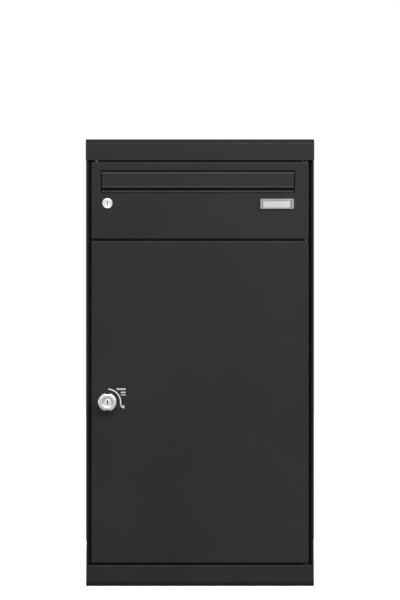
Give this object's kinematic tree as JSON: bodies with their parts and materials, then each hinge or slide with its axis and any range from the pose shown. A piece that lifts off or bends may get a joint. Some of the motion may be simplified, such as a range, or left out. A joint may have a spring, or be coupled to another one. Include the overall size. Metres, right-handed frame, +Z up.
{
  "type": "parcel drop box",
  "caption": "Free-standing steel drop box with a flap slot and small lockable letter door above a tall lockable parcel door.",
  "frame": {"origin": "centre of the footprint, on the surface the plinth stands on; the footprint includes the knob that stands out in front", "axes": "+X to the right seen from the front, +Y to the back, +Z up"},
  "size_m": [0.4112, 0.401, 0.804],
  "materials": {
    "dark_coat": "fine-textured matt powder coat, dark grey",
    "plinth_coat": "fine-textured matt powder coat, dark grey",
    "zinc_steel": "zinc plated, dull",
    "bright_lock": "satin nickel plate",
    "seal_rubber": "matt sponge rubber",
    "plate_grey": "satin grey",
    "card": "uncoated white card, blank",
    "clear_cover": "clear plastic",
    "black_plastic": "moulded, fine grain"
  },
  "bodies": {
    "case": {"roof_cover": "dark_coat", "top_tray": "dark_coat", "left_side_panel": "dark_coat", "right_side_panel": "dark_coat", "rear_panel": "dark_coat", "floor_panel": "dark_coat", "floor_stop": "dark_coat", "divider_shelf": "dark_coat", "mid_rail": "dark_coat", "header_rail": "dark_coat", "left_stile": "dark_coat", "right_stile": "dark_coat", "mail_retainer": "dark_coat", "plinth_front": "plinth_coat", "plinth_rear": "plinth_coat", "plinth_left": "plinth_coat", "plinth_right": "plinth_coat", "letter_strike": "zinc_steel", "parcel_strike": "zinc_steel", "roof_screw_1": "zinc_steel", "roof_screw_2": "zinc_steel", "wall_plug_1": "black_plastic", "wall_plug_2": "black_plastic", "wall_plug_3": "black_plastic", "wall_plug_4": "black_plastic", "hinge_plate_top": "zinc_steel", "hinge_plate_middle": "zinc_steel", "hinge_plate_bottom": "zinc_steel", "hinge_pin_top": "zinc_steel", "hinge_pin_middle": "zinc_steel", "hinge_pin_bottom": "zinc_steel"},
    "letter_door": {"letter_door_panel": "dark_coat", "slot_frame": "dark_coat", "letter_guide": "dark_coat", "letter_door_seal": "seal_rubber", "letter_bush_top": "zinc_steel", "letter_bush_bottom": "zinc_steel", "flap_rod": "zinc_steel", "flap_spring": "zinc_steel", "name_plate_frame": "plate_grey", "name_card": "card", "name_plate_cover": "clear_cover", "letter_lock_housing": "bright_lock", "letter_lock_nut": "zinc_steel"},
    "flap": {"letter_flap": "dark_coat"},
    "letter_lock": {"letter_lock_plug": "bright_lock", "letter_cam": "zinc_steel", "letter_cam_screw": "zinc_steel"},
    "parcel_door": {"parcel_door_panel": "dark_coat", "parcel_door_liner": "dark_coat", "parcel_door_seal": "seal_rubber", "parcel_bush_top": "zinc_steel", "parcel_bush_bottom": "zinc_steel", "parcel_lock_collar": "bright_lock", "parcel_lock_nut": "zinc_steel"},
    "knob": {"parcel_knob": "bright_lock", "parcel_spindle": "zinc_steel", "parcel_cam": "zinc_steel", "parcel_cam_screw": "zinc_steel"},
    "key_plug": {"parcel_key_plug": "bright_lock"}
  },
  "joints": [
    {"name": "letter_door_hinge", "type": "hinge", "parent": "case", "child": "letter_door", "pos_m": [0.1905, -0.178, 0.6936], "axis": [0, 0, 1], "range_deg": [0, 105]},
    {"name": "parcel_door_hinge", "type": "hinge", "parent": "case", "child": "parcel_door", "pos_m": [0.1905, -0.178, 0.3312], "axis": [0, 0, 1], "range_deg": [0, 105]},
    {"name": "flap_hinge", "type": "hinge", "parent": "letter_door", "child": "flap", "pos_m": [-0.0036, -0.18, 0.7416], "axis": [-1, 0, 0], "range_deg": [0, 80], "stiffness_Nm_per_rad": 0.06, "springref_deg": -20.05},
    {"name": "letter_lock_turn", "type": "hinge", "parent": "letter_door", "child": "letter_lock", "pos_m": [-0.1665, -0.1845, 0.6885], "axis": [0, 1, 0], "range_deg": [0, 90]},
    {"name": "knob_turn", "type": "hinge", "parent": "parcel_door", "child": "knob", "pos_m": [-0.1664, -0.1845, 0.3307], "axis": [0, 1, 0], "range_deg": [0, 90]},
    {"name": "key_turn", "type": "hinge", "parent": "knob", "child": "key_plug", "pos_m": [-0.1664, -0.1845, 0.3307], "axis": [0, 1, 0], "range_deg": [0, 90]}
  ]
}
